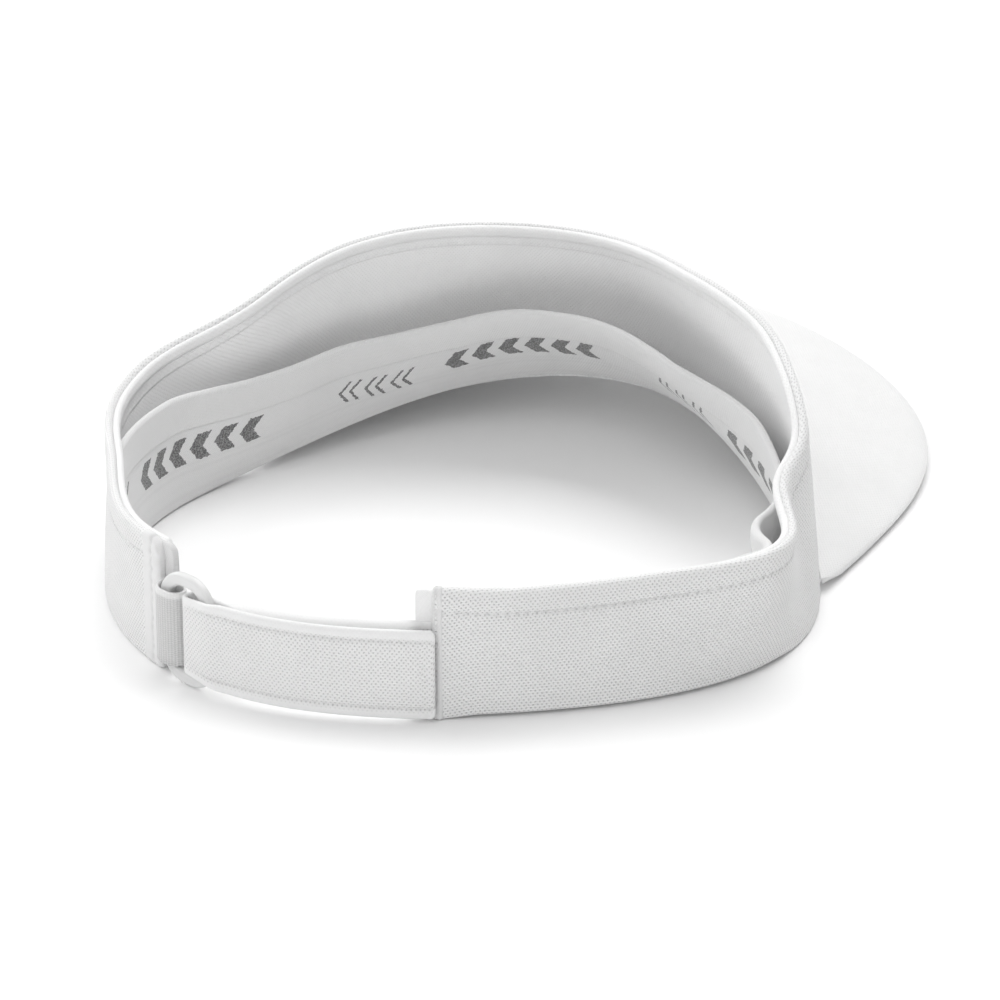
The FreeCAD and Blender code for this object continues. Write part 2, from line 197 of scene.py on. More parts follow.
def make_piece(name, points, faces, body, material, slot=None, replaces=(), uv=None, marks=None):
    """A closed mesh that rides on a CAD body. Points are in millimetres; the last argument gives the painted
    shade and the plainness with painted highlight at each point.
    """
    mesh = bpy.data.meshes.new(name)
    mesh.from_pydata((np.asarray(points) * MM).tolist(), [], faces)
    if uv is not None:
        layer = mesh.uv_layers.new(name="cloth")
        layer.data.foreach_set("uv", (np.asarray(uv, np.float32) * MM).ravel())
        # A second UV layer holds painted light: x is painted shade that darkens the colour, y a plainness that
        # lightens it as a painted highlight.
        seen = mesh.uv_layers.new(name="marks")
        if marks is not None:
            corners = np.zeros(len(mesh.loops), np.int32)
            mesh.loops.foreach_get("vertex_index", corners)
            seen.data.foreach_set("uv", np.asarray(marks, np.float32).reshape(-1, 2)[corners].ravel())
    work = bmesh.new()
    work.from_mesh(mesh)
    bmesh.ops.recalc_face_normals(work, faces=work.faces)
    work.to_mesh(mesh)
    work.free()
    mesh.shade_smooth()
    piece = bpy.data.objects.new(name, mesh)
    bpy.context.scene.collection.objects.link(piece)
    mesh.materials.append(material)
    if replaces:
        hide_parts(*replaces)
    if body:
        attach(piece, body)
    return piece


def unit(vectors):
    return vectors / np.maximum(np.linalg.norm(vectors, axis=-1, keepdims=True), 1e-9)


def slab_loops(centre, outer, inner, cap=4):
    """Loops of points round a thick strip. Centre is a grid (along, up) of points through its middle."""
    centre = np.asarray(centre, float)
    count, rows = centre.shape[:2]
    up = unit(np.gradient(centre, axis=1))
    normal = unit(np.cross(np.gradient(centre, axis=0), up))
    outer = np.broadcast_to(np.asarray(outer, float), (count, rows))[..., None]
    inner = np.broadcast_to(np.asarray(inner, float), (count, rows))[..., None]
    turns = (np.arange(cap) + 0.5) / cap * math.pi / 2

    def quarter(row, sign, half, lift):
        across = sign * normal[:, row] * half[:, row]
        beyond = lift * up[:, row] * (outer[:, row] + inner[:, row]) / 2
        return [centre[:, row] + across * math.sin(t) + beyond * math.cos(t) for t in turns]

    loop = quarter(0, 1, outer, -1)
    loop += [centre[:, j] + normal[:, j] * outer[:, j] for j in range(rows)]
    loop += quarter(rows - 1, 1, outer, 1)[::-1]
    loop += quarter(rows - 1, -1, inner, 1)
    loop += [centre[:, j] - normal[:, j] * inner[:, j] for j in range(rows - 1, -1, -1)]
    loop += quarter(0, -1, inner, -1)[::-1]
    return np.stack(loop, axis=1)


def round_loop(shade, plain_and_highlight, cap=4):
    """Painted light for the loops of a slab, from a painted shade and a plainness with painted highlight at
    each row of its grid.
    """
    shade, plain_and_highlight = np.broadcast_arrays(np.asarray(shade, float), np.asarray(plain_and_highlight, float))
    rows = np.stack([shade, plain_and_highlight], axis=-1)
    first, last = rows[:, :1], rows[:, -1:]
    caps = [np.repeat(first, cap, 1), np.repeat(last, 2 * cap, 1), np.repeat(first, cap, 1)]
    return np.concatenate([caps[0], rows, caps[1], rows[:, ::-1], caps[2]], axis=1)


def skin(count, size, closed=False):
    """The faces of a loft, and which loop and which place round it gives the UV of each face's corners."""
    last = count if closed else count - 1
    sides = [((i, j), (i + 1, j), (i + 1, j + 1), (i, j + 1)) for i in range(last) for j in range(size)]
    ends = [] if closed else [(i, j) for i in (0, count - 1) for j in range(size // 2 - 1)]
    faces = sides + [((i, j), (i, j + 1), (i, size - 2 - j), (i, size - 1 - j)) for i, j in ends]
    corners = sides + [((i, j), (i, j + 1), (i, j + 1), (i, j)) for i, j in ends]
    corners = np.array(corners).reshape(-1, 2).T
    return [tuple(i % count * size + j % size for i, j in face) for face in faces], corners


def loft(name, loops, *args, uv_row=None, closed=False, **more):
    """A closed mesh through loops of points, with quads across both ends unless it closes on itself."""
    count, size = loops.shape[:2]
    faces, (along_it, round_it) = skin(count, size, closed)
    steps = np.linalg.norm(np.diff(loops, axis=1, append=loops[:, :1]), axis=2)
    v = np.concatenate([np.zeros((count, 1)), np.cumsum(steps, axis=1)], axis=1)
    line = loops[:, size // 4 if uv_row is None else uv_row]
    u = np.append(0.0, np.cumsum(np.linalg.norm(np.diff(line, axis=0, append=line[:1]), axis=1)))
    uv = np.stack([u[along_it], v[along_it % count, round_it]], axis=1)
    return make_piece(name, loops.reshape(-1, 3), faces, *args, uv=uv, **more)


def stations(length, step, ends=0.0):
    """Places along a length, close together within the rounding at its two ends."""
    places = list(np.arange(ends, length - ends, step)) + [length - ends]
    if ends:
        turns = [math.pi / 2 * k / 6 for k in range(6)]
        low = [ends * (1 - math.cos(t)) + 0.02 * ends for t in turns]
        places = [p for p in low if p < ends] + places + [length - p for p in reversed(low) if p < ends]
    return np.array(places)


def inset(place, length, radius):
    """How far the edge draws in at a place near either end, to round a corner."""
    near = np.clip(np.minimum(place, length - place), 0, radius)
    return radius - np.sqrt(radius ** 2 - (radius - near) ** 2)


def run_of(line):
    """How far along a line each of its points is."""
    return np.append(0.0, np.cumsum(np.linalg.norm(np.diff(line, axis=0), axis=1)))


def read(places, run, values):
    """A line's values at places along it."""
    return np.stack([np.interp(places, run, column) for column in values.T], axis=-1)


def resample(points, step):
    """Evenly spaced points on a smoothed line."""
    points = np.asarray(points, float)
    run = run_of(points)
    line = read(np.linspace(0, run[-1], max(int(run[-1] / 0.25), 8)), run, points)
    for _ in range(24):
        line[1:-1] = line[1:-1] * 0.5 + (line[:-2] + line[2:]) * 0.25
    run = run_of(line)
    even = np.linspace(0, run[-1], int(run[-1] / step) + 1)
    return read(even, run, line), even


def stitch_row(
    name, line, normals, body, material, length=2.2, gap=0.5, radius=0.2, sink=0.4, slot=None, centres=None
):
    """Short rounded threads laid along a line on a surface."""
    line, normals = np.asarray(line, float), unit(np.asarray(normals, float))
    run = run_of(line)
    if centres is None:
        count = max(int((run[-1] - gap) / (length + gap)), 1)
        centres = gap / 2 + (np.arange(count) + 0.5) * (run[-1] - gap) / count
    middle = read(centres, run, line)
    tangent = unit(read(centres + length / 2, run, line) - read(centres - length / 2, run, line))
    normal = read(centres, run, normals)
    normal = unit(normal - tangent * (normal * tangent).sum(1, keepdims=True))
    side = np.cross(normal, tangent)
    shares = np.array([-0.5, -0.42, -0.2, 0.2, 0.42, 0.5])[:, None]
    size = radius * np.maximum(np.sqrt(1 - abs(2 * shares) ** 3), 0.25)
    turns = np.arange(6) * math.pi / 3
    raised = size * np.sin(turns) - 0.7 * radius * (2 * shares) ** 2 + radius * (1 - 2 * sink)
    thread_axes = (tangent, normal, side)
    moves = (length * shares + 0 * turns, raised, size * np.cos(turns))
    points = middle[:, None, None]
    points = points + sum(a[:, None, None] * m[..., None] for a, m in zip(thread_axes, moves))
    faces = []
    for first in range(0, len(middle) * 36, 36):
        for low, s in ((first + 6 * k, s) for k in range(5) for s in range(6)):
            o = (s + 1) % 6
            faces.append((low + s, low + o, low + 6 + o, low + 6 + s))
        faces += [tuple(range(first, first + 6)), tuple(range(first + 30, first + 36))]
    points = points.reshape(-1, 3)
    return make_piece(name, points, faces, body, material, slot=slot)


# ---- materials ----

class Signal:
    """A value inside a material. Arithmetic on it adds nodes."""

    def __init__(self, nodes, socket):
        self.nodes = nodes
        self.socket = socket

    def __add__(self, other):
        return self.nodes.math("ADD", self, other)

    def __sub__(self, other):
        return self.nodes.math("SUBTRACT", self, other)

    def __rsub__(self, other):
        return self.nodes.math("SUBTRACT", other, self)

    def __mul__(self, other):
        return self.nodes.math("MULTIPLY", self, other)

    def __abs__(self):
        return self.nodes.math("ABSOLUTE", self)

    def __lt__(self, other):
        return self.nodes.math("LESS_THAN", self, other)

    def __gt__(self, other):
        return self.nodes.math("GREATER_THAN", self, other)

    def wave(self, pitch):
        """A sine with one turn each pitch."""
        return self.nodes.math("SINE", self * (2 * math.pi / pitch))

    def ramp(self, start, end):
        """A smooth scale from one (place, number) to another."""
        scale = {"Value": self, "From Min": start[0], "To Min": start[1], "From Max": end[0], "To Max": end[1]}
        return self.nodes.add("MapRange", scale, interpolation_type="SMOOTHSTEP")


class Nodes:
    """A material and short ways to add nodes to it."""

    def __init__(self, name, rough, sheen=0.0):
        self.material = bpy.data.materials.new(name)
        self.material.use_nodes = True
        self.tree = self.material.node_tree
        self.shader = self.tree.nodes["Principled BSDF"].inputs
        self.shader["Roughness"].default_value = rough
        self.shader["Sheen Weight"].default_value = sheen
        self.shader["Sheen Roughness"].default_value = 0.45
        self.relief = None

    def put(self, value, socket):
        if isinstance(value, Signal):
            self.tree.links.new(value.socket, socket)
        elif isinstance(value, tuple):
            socket.default_value = (*value, 1.0)
        else:
            socket.default_value = value

    def add(self, kind, values, output=0, **settings):
        """Adds a node with these values in its sockets, and gives one of its outputs."""
        node = self.tree.nodes.new("ShaderNode" + kind)
        for key, value in settings.items():
            setattr(node, key, value)
        for key, value in values.items():
            self.put(value, node.inputs[key])
        return Signal(self, node.outputs[output])

    def math(self, kind, *values):
        return self.add("Math", dict(enumerate(values)), operation=kind)

    def pair(self, layer):
        """The two numbers that a UV layer holds."""
        parts = self.tree.nodes.new("ShaderNodeSeparateXYZ")
        self.put(self.add("UVMap", {}, uv_map=layer), parts.inputs[0])
        return [Signal(self, parts.outputs[k]) for k in (0, 1)]

    def cloth(self):
        """The place on the cloth, in millimetres along and across it."""
        return [part * (1 / MM) for part in self.pair("cloth")]

    def space(self):
        return self.add("TexCoord", {}, "Object")

    def noise(self, scale, detail=2.0):
        return self.add("TexNoise", {"Scale": scale, "Detail": detail, "Vector": self.space()})

    def mix(self, share, a, b):
        return self.add("Mix", {0: share, 6: a, 7: b}, 2, data_type="RGBA")

    def colour(self, value):
        self.put(value, self.shader["Base Color"])

    def bump(self, height, distance):
        """Relief of this many millimetres, on top of any that is there."""
        values = {"Distance": distance * MM, "Strength": 1.0, "Height": height}
        if self.relief:
            values["Normal"] = self.relief
        self.relief = self.add("Bump", values)
        self.put(self.relief, self.shader["Normal"])


def grey(value):
    return (value, value, value)


def knit(name, light=0.86, dark=0.74, across=1.17, up=1.56, depth=0.16, spread=0.1):
    """A dimpled knit: staggered small hollows, wider than they are high, between raised threads."""
    n = Nodes(name, 0.85, sheen=0.2)
    u, v = n.cloth()
    shade, plain_and_highlight = n.pair("marks")
    shift = (n.noise(700) - 0.5) * 0.34
    u = u * (1 / across) + shift * (1 / across)
    v = v * (1 / up) + shift * (0.7 / up)
    row = (v + 0.25).wave(1)
    dots = u.wave(1) * row * abs(row)
    hollow = dots.ramp((spread, 0.0), (0.9, 1.0)) * (1.0 - plain_and_highlight)
    threads = (v * 2.0).wave(1).ramp((-1.0, 0.0), (1.0, 1.0))
    cloudy = n.noise(45, 3).ramp((0.35, 0.0), (0.65, 1.0))
    fleck = n.noise(5200).ramp((0.4, 0.0), (0.7, 1.0))
    base = n.mix(cloudy, grey(light), grey(light * 0.97))
    base = n.mix(fleck * 0.10, base, grey(light * 0.82))
    # Painted shade: the hollows are painted the dark grey, on top of their bump, though the knit itself is one
    # white. Where the plainness with painted highlight is set, they are left unpainted and flatter.
    base = n.mix(hollow, base, grey(dark))
    # Painted shade from the mesh's second UV layer darkens seams, grooves and stitch holes.
    n.colour(n.mix(shade, base, grey(light * 0.45)))
    n.put(hollow.ramp((0.0, 0.8), (1.0, 0.95)), n.shader["Roughness"])
    n.bump(1.0 - hollow, depth)
    n.bump(threads * (1.0 - plain_and_highlight), depth * 0.3)
    n.bump(fleck, 0.03)
    return n.material


# The sweatband's woven marks: groups of slanted bars, bold and outlined by turns, in millimetres along it
BAR_PITCH = 8.35
BARS_IN_REPEAT = 13
BAR_SLANT = 0.75
BAR_START = 250.0


def woven_bars(n, u, v, middle, half):
    """Where a ragged row of bars is woven. Middle and half are the row's place across and half its height."""
    off = abs(v + (n.noise(1300) - 0.5) * 0.9 - middle)
    turns = (u + (n.noise(1500) - 0.5) * 1.1 + off * BAR_SLANT - BAR_START) * (1 / BAR_PITCH)
    turn = n.math("FRACT", turns)
    number = n.math("FRACT", (n.math("FLOOR", turns) + 0.5) * (1 / BARS_IN_REPEAT)) * BARS_IN_REPEAT
    outline = abs(turn - 0.27) > 0.14
    group = (number < 6.0) + (abs(number - 8.5) < 1.6) * outline
    speck = n.noise(2600, 1).ramp((0.35, 0.7), (0.6, 1.0))
    return (turn < 0.54) * group * (off < half) * speck


def fine_cloth(name, light, pitch, depth, bars=None):
    """A smooth closely woven cloth. Bars are the middle and half height of its row of bars, and their shade."""
    n = Nodes(name, 0.8, sheen=0.3)
    u, v = n.cloth()
    shade, plain_and_highlight = n.pair("marks")
    wander = (n.noise(700) - 0.5) * 0.5
    weave = (u + v + wander).wave(pitch) + (u - v * 0.6).wave(pitch * 1.4)
    threads = weave.ramp((-1.6, 0.0), (1.6, 1.0))
    cloudy = n.noise(60, 3).ramp((0.3, 0.0), (0.7, 1.0))
    base = n.mix(cloudy, grey(light), grey(light * 0.96))
    # Painted shade: the low places between the woven threads are painted darker.
    base = n.mix(threads * 0.5, grey(light * 0.88), base)
    if bars:
        base = n.mix(woven_bars(n, u, v, *bars[:2]), base, grey(bars[2]))
    # The plainness lightens the cloth as a painted highlight, and painted shade from the mesh's second UV layer
    # darkens seams, grooves and stitch holes.
    base = n.mix(plain_and_highlight, base, grey(0.93))
    n.colour(n.mix(shade, base, grey(light * 0.45)))
    n.bump(threads, depth)
    n.bump(n.noise(4200), 0.03)
    return n.material


def ribbed(name, light, dark, across=0.95, rows=0.62, depth=0.08):
    """Woven elastic: cords up the tape crossed by fine rows."""
    n = Nodes(name, 0.75, sheen=0.15)
    u, v = n.cloth()
    shade, plain_and_highlight = n.pair("marks")
    cords = u.wave(across).ramp((-0.9, 0.0), (0.3, 0.5))
    wander = (n.noise(1500) - 0.5) * 0.4
    relief = cords + (v + wander).wave(rows).ramp((-0.8, 0.0), (0.5, 0.5))
    speck = n.noise(2500).ramp((0.35, 0.0), (0.7, 1.0))
    # Painted shade: the grooves between the cords and rows are painted darker than their crests.
    base = n.mix(relief, grey(dark), grey(light))
    base = n.mix(speck * 0.25, base, grey(dark))
    # The selvage is an even lighter grey with no painted rib shade; painted shade from the mesh's second UV
    # layer darkens edges.
    base = n.mix(plain_and_highlight, base, grey(0.84))
    n.colour(n.mix(shade, base, grey(dark * 0.6)))
    n.bump(relief, depth)
    return n.material


def moulded(name, light, rough=0.35, clear=0.0):
    """Moulded plastic with a faint flow and grain."""
    n = Nodes(name, rough)
    flow = n.noise(120, 3).ramp((0.35, 0.0), (0.65, 1.0))
    n.colour(n.mix(flow, grey(light), (light * 0.975, light * 0.98, light * 0.975)))
    grain = n.noise(2200, 3)
    n.put(grain.ramp((0.3, rough - 0.06), (0.7, rough + 0.08)), n.shader["Roughness"])
    n.bump(grain, 0.015)
    n.shader["Subsurface Weight"].default_value = clear
    n.shader["Subsurface Radius"].default_value = (0.003, 0.003, 0.003)
    return n.material


def bristled(name, light, scale, depth):
    """Hook or loop tape: a dense field of small raised points."""
    n = Nodes(name, 0.7, sheen=0.2)
    tips = n.add("TexVoronoi", {"Scale": scale, "Vector": n.space()}, "Distance").ramp((0.1, 1.0), (0.55, 0.0))
    # Painted shade: the tape between the points is painted darker than their tips.
    n.colour(n.mix(tips, grey(light * 0.72), grey(light)))
    n.bump(tips, depth)
    return n.material


def thread(name, light):
    """Twisted sewing thread."""
    n = Nodes(name, 0.6, sheen=0.2)
    twist = n.add("TexWave", {"Scale": 900, "Vector": n.space()}, "Fac", bands_direction="DIAGONAL")
    # Painted shade: the grooves of the twist are painted darker.
    n.colour(n.mix(twist, grey(light * 0.88), grey(light)))
    n.bump(twist, 0.04)
    return n.material


# Each knit's dark grey is the painted shade in its hollows, weakest on the bill, which the light from above
# fills. The lining's cloth is set lighter than the shell's, painted light that makes up for the light its
# shaded inside lacks.
WHITE_KNIT = knit("white_knit", light=0.875, dark=0.63, depth=0.2, spread=0.04)
STRAP_KNIT = knit("strap_knit", light=0.88, dark=0.66, depth=0.18, spread=0.04)
LINING_KNIT = knit("lining_knit", light=0.95, dark=0.87, across=1.0, up=1.35, depth=0.09)
BILL_KNIT = knit("bill_knit", light=0.88, dark=0.80, across=1.0, up=1.3, depth=0.06)
TAPE_CLOTH = fine_cloth("tape_cloth", 0.86, pitch=0.42, depth=0.03)
THREAD = thread("white_thread", 0.88)
ELASTIC = ribbed("grey_elastic", 0.70, 0.50)
PLASTIC = moulded("ring_plastic", 0.76, clear=0.25)
HOOKS = bristled("hook_tape", 0.82, 1100, 0.3)
LOOPS = bristled("loop_tape", 0.82, 800, 0.2)

INNER_PARTS = {
    "bill_board": moulded("board_plastic", 0.8, rough=0.45),
    "front_buckram": knit("buckram_mesh", light=0.8, dark=0.5, across=1.6, up=1.6, depth=0.2),
}
for node, material in INNER_PARTS.items():
    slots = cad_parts[node].data.materials
    slots.clear()
    slots.append(material)


# ---- band ----

TOPSTITCH_DROP = 6.6
STITCH_PITCH = 2.7
ROLL = 0.885
CLOTH_HALF = 0.25
NEAR_LIFT = 1.1
BINDING_LIP = 0.75
LEFT_BINDING_CORNER = 5.4
RIM_ROWS = (1.6, 2.2, 3.0, 3.8, 4.6, 5.2, 5.65, 6.0, 6.3, 6.6, 6.9, 7.2, 7.6, 8.2, 9.0)
FACE_ROWS = 40


def arc(x, y, radius, start, end, count):
    turns = np.radians(np.linspace(start, end, count))
    return [(x + radius * math.cos(turn), y + radius * math.sin(turn)) for turn in turns]


def shell_path(bottom, rim):
    """The shell's cloth, as (depth, height): turned under at the table, up the outside, folded over the rim."""
    middle = CLOTH_HALF + ROLL
    low, high = bottom + middle, rim - middle
    path = [(middle + ROLL, low + rise) for rise in (5.0, 2.5)]
    path += arc(middle, low, ROLL, 0, -180, 8)
    seam_foot = rim - RIM_ROWS[-1]
    path += [(CLOTH_HALF, low + (seam_foot - low) * k / FACE_ROWS) for k in range(1, FACE_ROWS)]
    path += [(CLOTH_HALF, rim - drop) for drop in reversed(RIM_ROWS)]
    path += arc(middle, high, ROLL, 180, 0, 10)
    path += [(middle + ROLL, high - fall) for fall in (1.5, 3.0, 5.0, TOPSTITCH_DROP)]
    return np.array(path)


def shell_wrinkle(angle, height, rim, bottom):
    """Small outward moves of the shell's outer face, in millimetres."""
    share = (height - bottom) / (rim - bottom)
    groove = -0.42 * hump(height, rim - TOPSTITCH_DROP, 0.7) * (1 + 0.3 * wave(run_at(angle), STITCH_PITCH))
    puff = 0.28 * hump(height, rim - 3.6, 2.0)
    belly = 4 * share * (1 - share)
    crease = 0.4 * math.exp(-abs(angle - 88) / 8) * np.sin(share * 14 + (angle - 90) * 0.22) * belly
    stretch = 0.09 * hump(angle, 99, 7) * np.sin(2 * math.pi * height / 2.3) * smooth((angle - 90) / 6)
    pucker = 0.3 * math.exp((angle - LEFT_END) / 5) * np.sin(height * 1.05 + 0.6)
    slack = 0.35 * math.sin(math.radians(angle * 5)) * belly
    return groove + puff + crease + stretch + pucker + slack


def near_lift(angle):
    """How far the wearer's right panel stands clear of the table."""
    return NEAR_LIFT * smooth((angle - 24) / 8) * (1 - smooth((angle - 82) / 10))


def corner_drop(angle):
    """How far the shell's rim is cut down under the rounded corner of the left end's binding."""
    from_open_end = math.radians(LEFT_END - angle) * BAND_RADIUS + BINDING_LIP
    return 1.1 * float(inset(from_open_end, 1e3, LEFT_BINDING_CORNER))


def shell_grid():
    grid, shades, rim_highlights = [], [], []
    for angle in np.arange(RIGHT_END, LEFT_END, 0.38).tolist() + [LEFT_END]:
        bottom, rim = bottom_height(angle), rim_height(angle) - corner_drop(angle)
        path = shell_path(bottom, rim)
        depths, heights = path[:, 0].copy(), path[:, 1]
        face = depths < CLOTH_HALF + 0.02
        depths[face] -= shell_wrinkle(angle, heights[face], rim, bottom)
        share = (heights - bottom) / (rim - bottom)
        hole = max(wave(run_at(angle), STITCH_PITCH), 0.0) ** 2
        across = hump(heights, rim - TOPSTITCH_DROP, 0.55)
        inside = smooth((angle - RIGHT_END - 2.0) / 2) * smooth((LEFT_END - 5.0 - angle) / 2)
        # Painted shade in the topstitch groove on the outer face, darkest at the needle holes; near the rim's
        # top the knit's hollows are partly left unpainted, a painted highlight where the light from above
        # falls.
        shades.append((0.10 + 0.34 * hole) * across * face * inside)
        rim_highlights.append(0.3 * np.clip((heights - rim + 2.0) / 1.4, 0, 1))
        lifted = heights + near_lift(angle) * (1 - np.clip(share * 2.2, 0, 1)) ** 2
        grid.append(wall_points(angle, lifted, depths))
    return np.array(grid), np.array(shades), np.array(rim_highlights)


# The grid's rows run up the outside, so its normal points away from the head there.
grid, shades, rim_highlights = shell_grid()
shell = loft(
    "band_shell", slab_loops(grid, CLOTH_HALF, CLOTH_HALF), "band", WHITE_KNIT, slot="white_knit",
    replaces=("shell_fabric",), uv_row=20, marks=round_loop(shades, rim_highlights),
)


def wall_places(start, end, step, corner):
    """Places along a strip of the wall, their angles, how far its edges draw in there, and its length."""
    length = math.radians(end - start) * BAND_RADIUS
    places = stations(length, step, corner)
    return places, start + (end - start) * places / length, inset(places, length, corner), length


# The lining's rows, as how far each is below its top, then evenly down to its foot
LINING_TOP = (0.0, 0.3, 0.7, 1.1, 1.5, 1.9, 2.3, 2.8, 3.4, 4.0, 4.5, 4.9, 5.2, 5.5, 5.9, 6.6, 7.6)
LINING_FOOT_ROWS = 22
LINING_DROP = 1.5
RIDGE_FALL = 1.35
HEM_FALL = 5.1


def fade(value, start, width):
    """From 1 to 0 past a place, for arrays."""
    share = np.clip((np.asarray(value, float) - start) / width, 0, 1)
    return 1 - share * share * (3 - 2 * share)


def lining_falls(angle, draw):
    foot, top = bottom_height(angle) + 0.7 + draw, rim_height(angle) - LINING_DROP - draw
    rest = np.linspace(LINING_TOP[-1], top - foot, LINING_FOOT_ROWS + 1)[1:]
    return np.concatenate([LINING_TOP, rest])[::-1]


def make_lining():
    """The lining: a folded ridge at the rim, a stitched hem below it and a face with no hem or ridge down to
    its foot.
    """
    start = RIGHT_END - LINING_OVERHANG
    places, angles, draws, length = wall_places(start, LEFT_END + LINING_OVERHANG, 0.9, 1.5)
    falls = np.array([lining_falls(a, d) for a, d in zip(angles, draws)])
    ridge = fade(falls, RIDGE_FALL, 1.0)
    hem = fade(falls, HEM_FALL, 0.35) * (1 - ridge)
    tops = [rim_height(a) - LINING_DROP - d for a, d in zip(angles, draws)]
    depths = 2.62 + 0.6 * ridge
    grid = [wall_points(*row) for row in zip(angles, np.array(tops)[:, None] - falls, depths)]
    stitch = wave(places[:, None] + run_at(start), STITCH_PITCH)
    groove = hump(falls, HEM_FALL - 0.55, 0.4) * (0.6 + 0.4 * stitch)
    ripple = 0.10 * hem * np.sin(places[:, None] * 0.75)
    taper = 1 - 0.7 * inset(places, length, 0.8)[:, None] / 0.8
    inner = 0.28 + 0.72 * ridge + 0.42 * hem - 0.16 * groove + ripple
    # Painted shade in the hem's groove at its stitch holes, and a painted shadow just below the hem's edge.
    shades = 0.12 * groove * (stitch > 0) + 0.13 * hump(falls, HEM_FALL + 0.25, 0.25)
    # The ridge is painted a little darker, painted shade that tones down the overhead light it catches, and its
    # knit hollows are painted less deep.
    return loft(
        "band_lining_cloth", slab_loops(grid, (0.28 + 0.76 * ridge) * taper, inner * taper),
        "band", LINING_KNIT, slot="lining_cloth", replaces=("band_lining",),
        marks=round_loop(shades + 0.06 * ridge, 0.15 * ridge),
    )


lining = make_lining()

places, angles, draws, length = wall_places(BILL_ROOT_ANGLE, 360 - BILL_ROOT_ANGLE, 1.5, 1.0)
tape = [
    wall_points(angle, bottom_height(angle) + np.linspace(0.5 + draw, 6.8 - draw, 6), 3.15)
    for angle, draw in zip(angles, draws)
]
loft(
    "seam_tape", slab_loops(tape, 0.18, 0.18), "band", TAPE_CLOTH, slot="binding_tape",
    replaces=("bill_seam_tape",),
)


def binding(name, end, width, towards, node, top_corner):
    """A tape folded round the shell's end and over its rim."""
    half, foot = 1.42, 1.2
    length = width + BINDING_LIP
    places = stations(length, 0.35, foot)
    fine = np.unique(np.concatenate([places, top_corner * (1 - np.cos(np.linspace(0, math.pi / 2, 10)))]))
    fine = fine[(fine > 0.02) & (fine <= length)]
    shares = np.concatenate([np.linspace(0, 0.12, 6), np.linspace(0.15, 0.8, 20), np.linspace(0.83, 1.0, 9)])
    grid = []
    for place in fine:
        angle = end + towards * degrees_of(place - BINDING_LIP)
        bottom = half + 0.05 + bottom_height(angle) + inset(place, 1e3, foot)
        top = rim_height(angle) - half + 0.5 - inset(place, 1e3, top_corner)
        grid.append(wall_points(angle, bottom + (top - bottom) * shares, 0.87))
    grid = np.array(grid)
    if towards < 0:
        grid, fine = grid[::-1], fine[::-1]
    open_end = fine[:, None]
    heights = grid[..., 2]
    closing = half * (1 - 0.75 * inset(open_end, 1e3, 1.3) / 1.3)
    pucker = 0.20 * np.sin(heights * 1.7 + open_end * 0.6) * hump(heights, 30, 8)
    pucker += 0.08 * np.sin(heights * 0.9 - open_end * 0.4)
    dip = hump(open_end, width * 0.5, 0.5)
    far_edge = np.clip((open_end - length + 0.4) / 0.4, 0, 1)
    outer = closing + pucker - 0.3 * dip - 0.45 * far_edge
    # Painted shade in the stitched dip across the tape, darkest at the needle holes, and along its far edge
    # where it tucks in.
    shades = 0.28 * dip * (0.5 + 0.5 * wave(heights, STITCH_PITCH)) + 0.12 * far_edge
    loft(
        name, slab_loops(grid, outer, closing + 0 * heights), "band", TAPE_CLOTH, slot="binding_tape",
        replaces=(node,), marks=round_loop(shades, 0 * shades),
    )


binding("left_binding", LEFT_END, 7.0, -1, "left_end_binding", LEFT_BINDING_CORNER)
binding("right_binding", RIGHT_END, 2.0, 1, "right_end_binding", 1.2)


# ---- sweatband ----

# The sweatband's top edge, as (angle, how far inwards of its sewn bottom edge). Between 80 and 100 degrees it
# stands off the dented shell in a small round loop, and behind that it hugs the wall.
SWEAT_EDGE = (
    (15, -1.0), (60, -0.5), (78, -1.0), (82, -2.5), (84, -1.0), (86, 3.2), (88, 6.2), (91, 8.9), (94, 9.8),
    (98, 8.4), (104, 6.8), (112, 6.5), (120, 7.0), (128, 8.0), (136, 11.0), (145, 15.0), (155, 18.5),
    (175, 21.0), (200, 18.5), (210, 17.0), (222, 12.5), (234, 9.5), (246, 9.0), (256, 6.5), (264, 2.5),
    (272, -1.0), (345, -1.0),
)
SWEAT_STRIP = 0.70
SWEAT_ROWS = np.array(
    list(np.linspace(0, 0.66, 22)) + [0.675, 0.685, 0.693, SWEAT_STRIP, 0.707, 0.715, 0.73]
    + list(np.linspace(0.76, 1.0, 11))
)
SWEAT_LIFT_BACK = 1.9
LOOP_SPAN = (70.0, 112.0)
FOLD_CORNER = 2.8
LOOP_PLACE, LOOP_WIDTH, LOOP_FULLNESS = 125.0, 13.0, 0.4
SWEAT_RIBS = np.array([0.07, 0.17, 0.28, 0.34])
BAR_SHARES = (0.37, 0.62)
ZIGZAG_PITCH = 2.2


def sweat_edge_line(start, end):
    """The top edge in plan, evenly spaced, with the angle of the sewn edge below each point."""
    angles = np.append(np.arange(start, end, 0.4), end)
    inwards = [along(SWEAT_EDGE, a) for a in angles]
    edge = np.array([at(a, band_radius(a) - i - SWEATBAND_DEPTH, 0.0)[:2] for a, i in zip(angles, inwards)])
    line, places = resample(np.column_stack([edge, angles]), 0.5)
    low, high = (float(np.interp(a, line[:, 2], places)) for a in LOOP_SPAN)
    inside = (places > low) & (places < high)
    sewn = line[:, 2].copy()
    sewn[inside] = LOOP_SPAN[0] + (LOOP_SPAN[1] - LOOP_SPAN[0]) * (places[inside] - low) / (high - low)
    return line[:, :2], sewn, places


